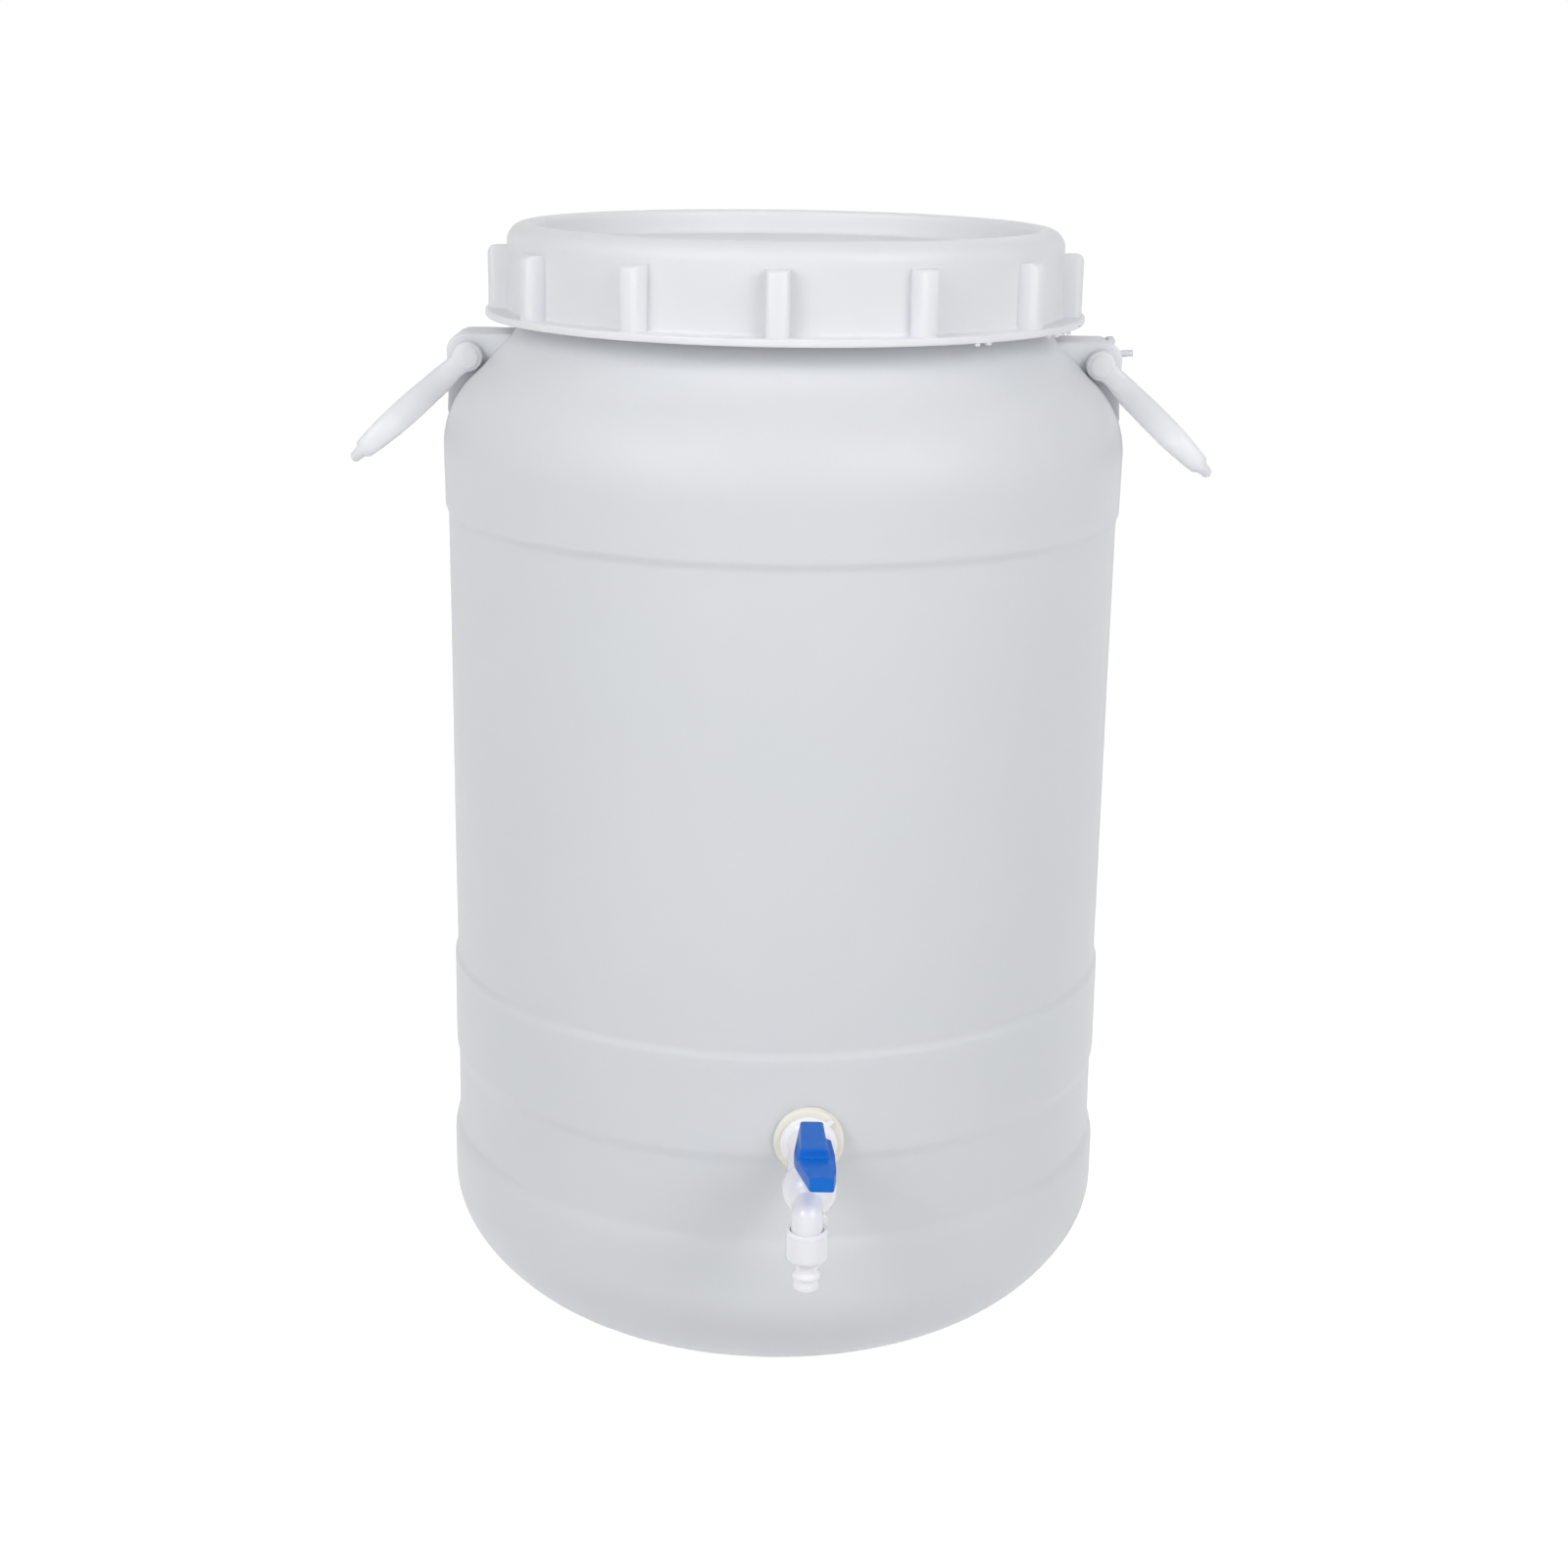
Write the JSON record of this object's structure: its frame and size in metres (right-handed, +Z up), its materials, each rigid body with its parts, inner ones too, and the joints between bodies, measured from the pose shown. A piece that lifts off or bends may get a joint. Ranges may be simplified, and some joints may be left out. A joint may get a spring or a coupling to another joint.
{
  "type": "open-top plastic drum with tap",
  "caption": "Tall round wide-mouth drum in milky plastic with a ribbed screw lid, swinging side bail handles and a small lever-worked ball tap with a hose barb near the foot.",
  "frame": {"origin": "on the drum's axis, in the plane of the ring that it stands on", "axes": "+Z up along the drum's axis; -Y towards the tap; X through the two handle ears"},
  "size_m": [0.3771, 0.387, 0.5],
  "materials": {
    "milky_body": "satin, milky translucent polyethylene, slightly uneven wall",
    "milky_handle": "satin, milky translucent polyethylene",
    "white_lid": "satin natural white polyethylene",
    "seal_foam": "soft matt white seal",
    "cream_rubber": "matt cream rubber",
    "white_tap": "smooth glossy white plastic",
    "seat_plastic": "smooth white seat",
    "black_rubber": "matt black rubber",
    "blue_lever": "satin bright blue plastic"
  },
  "bodies": {
    "drum": {"drum_foot": "milky_body", "drum_wall": "milky_body", "drum_shoulder": "milky_body", "drum_neck": "milky_body", "tap_outer_washer": "cream_rubber", "tap_inner_washer": "cream_rubber", "tap_lock_nut": "white_tap", "tap_body": "white_tap", "valve_retainer": "white_tap", "valve_seat_rear": "seat_plastic", "valve_seat_front": "seat_plastic", "outlet_nut": "white_tap", "outlet_washer": "black_rubber", "hose_barb": "white_tap"},
    "lid_seal": {"lid_gasket": "seal_foam"},
    "lid": {"screw_lid": "white_lid"},
    "left_bail": {"left_handle": "milky_handle"},
    "right_bail": {"right_handle": "milky_handle"},
    "tap_key": {"tap_lever": "blue_lever", "valve_stem": "white_tap", "valve_ball": "white_tap", "stem_o_ring_lower": "black_rubber", "stem_o_ring_upper": "black_rubber"}
  },
  "joints": [
    {"name": "lid_rise", "type": "slide", "parent": "drum", "child": "lid_seal", "axis": [0, 0, 1], "range_m": [0, 0.0421]},
    {"name": "lid_turn", "type": "hinge", "parent": "lid_seal", "child": "lid", "pos_m": [0, 0, 0.48], "axis": [0, 0, 1], "range_deg": [0, 1260]},
    {"name": "left_handle_swing", "type": "hinge", "parent": "drum", "child": "left_bail", "pos_m": [-0.1397, 0, 0.442], "axis": [0, 1, 0], "range_deg": [-8, 129.5]},
    {"name": "right_handle_swing", "type": "hinge", "parent": "drum", "child": "right_bail", "pos_m": [0.1397, 0, 0.442], "axis": [0, -1, 0], "range_deg": [-6, 131.5]},
    {"name": "tap_turn", "type": "hinge", "parent": "drum", "child": "tap_key", "pos_m": [0.0153, -0.201, 0.14], "axis": [0, 0, 1], "range_deg": [-6, 84]}
  ],
  "couplings": [
    {"joint": "lid_rise", "follows": "lid_turn", "m_per_rad": 0.0019099}
  ]
}
